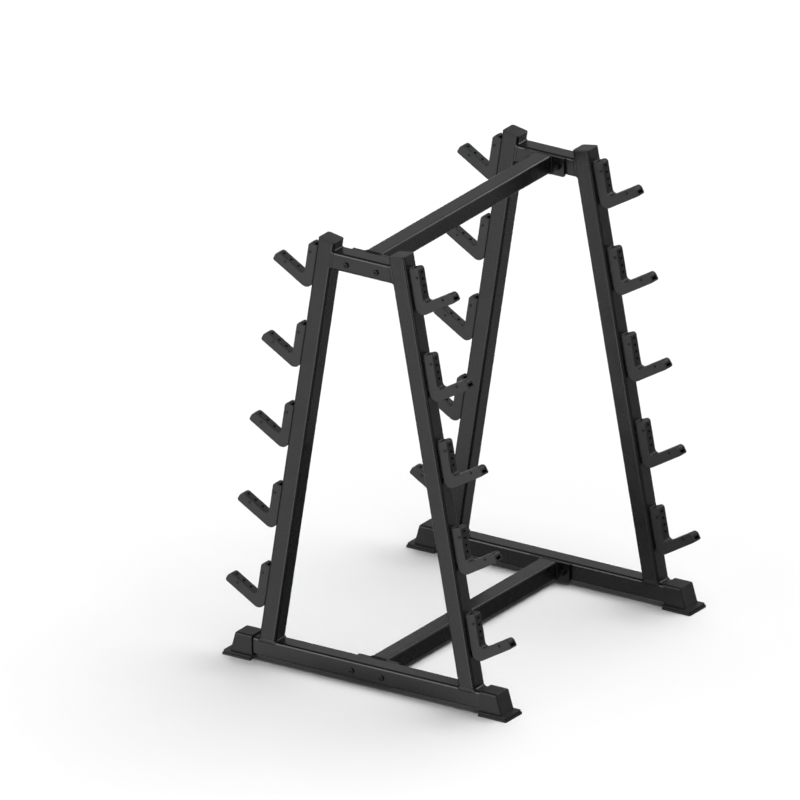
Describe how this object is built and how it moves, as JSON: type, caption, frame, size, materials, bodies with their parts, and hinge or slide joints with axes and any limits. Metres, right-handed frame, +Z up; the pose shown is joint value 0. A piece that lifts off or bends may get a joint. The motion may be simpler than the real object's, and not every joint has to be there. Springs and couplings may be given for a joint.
{
  "type": "barbell rack",
  "caption": "Double-sided A-frame storage rack in black square tube: lined J-hooks on leaning uprights hold fixed barbells, on rubber foot boots.",
  "frame": {"origin": "centre of the footprint on the floor, midway between the two end frames and between the uprights", "axes": "+X across the A-frames, to the right seen from the front end frame; +Y along the rack from the front end frame to the rear one, parallel to the bars it holds; +Z up"},
  "size_m": [1.0488, 1.103, 1.4548],
  "materials": {
    "frame_coat": "satin black powder coat",
    "hook_coat": "fine-texture black powder coat",
    "liner_plastic": "matt black wear strip",
    "boot_rubber": "moulded black rubber",
    "cap_plastic": "moulded black plastic",
    "dark_fastener": "black zinc plated"
  },
  "bodies": {
    "root": {"base_tube_front": "frame_coat", "base_tube_rear": "frame_coat", "bottom_long_tube": "frame_coat", "crosspiece_front": "frame_coat", "crosspiece_rear": "frame_coat", "end_cap_front_left": "cap_plastic", "end_cap_front_right": "cap_plastic", "end_cap_rear_left": "cap_plastic", "end_cap_rear_right": "cap_plastic", "flange_bolts": "dark_fastener", "flange_nuts": "dark_fastener", "flange_washers": "dark_fastener", "foot_boot_front_left": "boot_rubber", "foot_boot_front_right": "boot_rubber", "foot_boot_rear_left": "boot_rubber", "foot_boot_rear_right": "boot_rubber", "hook_front_left_1": "hook_coat", "hook_front_left_2": "hook_coat", "hook_front_left_3": "hook_coat", "hook_front_left_4": "hook_coat", "hook_front_left_5": "hook_coat", "hook_front_right_1": "hook_coat", "hook_front_right_2": "hook_coat", "hook_front_right_3": "hook_coat", "hook_front_right_4": "hook_coat", "hook_front_right_5": "hook_coat", "hook_liners_front_left": "liner_plastic", "hook_liners_front_right": "liner_plastic", "hook_liners_rear_left": "liner_plastic", "hook_liners_rear_right": "liner_plastic", "hook_rear_left_1": "hook_coat", "hook_rear_left_2": "hook_coat", "hook_rear_left_3": "hook_coat", "hook_rear_left_4": "hook_coat", "hook_rear_left_5": "hook_coat", "hook_rear_right_1": "hook_coat", "hook_rear_right_2": "hook_coat", "hook_rear_right_3": "hook_coat", "hook_rear_right_4": "hook_coat", "hook_rear_right_5": "hook_coat", "hook_screws_front_left": "dark_fastener", "hook_screws_front_right": "dark_fastener", "hook_screws_rear_left": "dark_fastener", "hook_screws_rear_right": "dark_fastener", "lower_flange_plate_front": "frame_coat", "lower_flange_plate_rear": "frame_coat", "top_long_tube": "frame_coat", "upper_flange_plate_front": "frame_coat", "upper_flange_plate_rear": "frame_coat", "upright_front_left": "frame_coat", "upright_front_right": "frame_coat", "upright_rear_left": "frame_coat", "upright_rear_right": "frame_coat"}
  },
  "joints": []
}
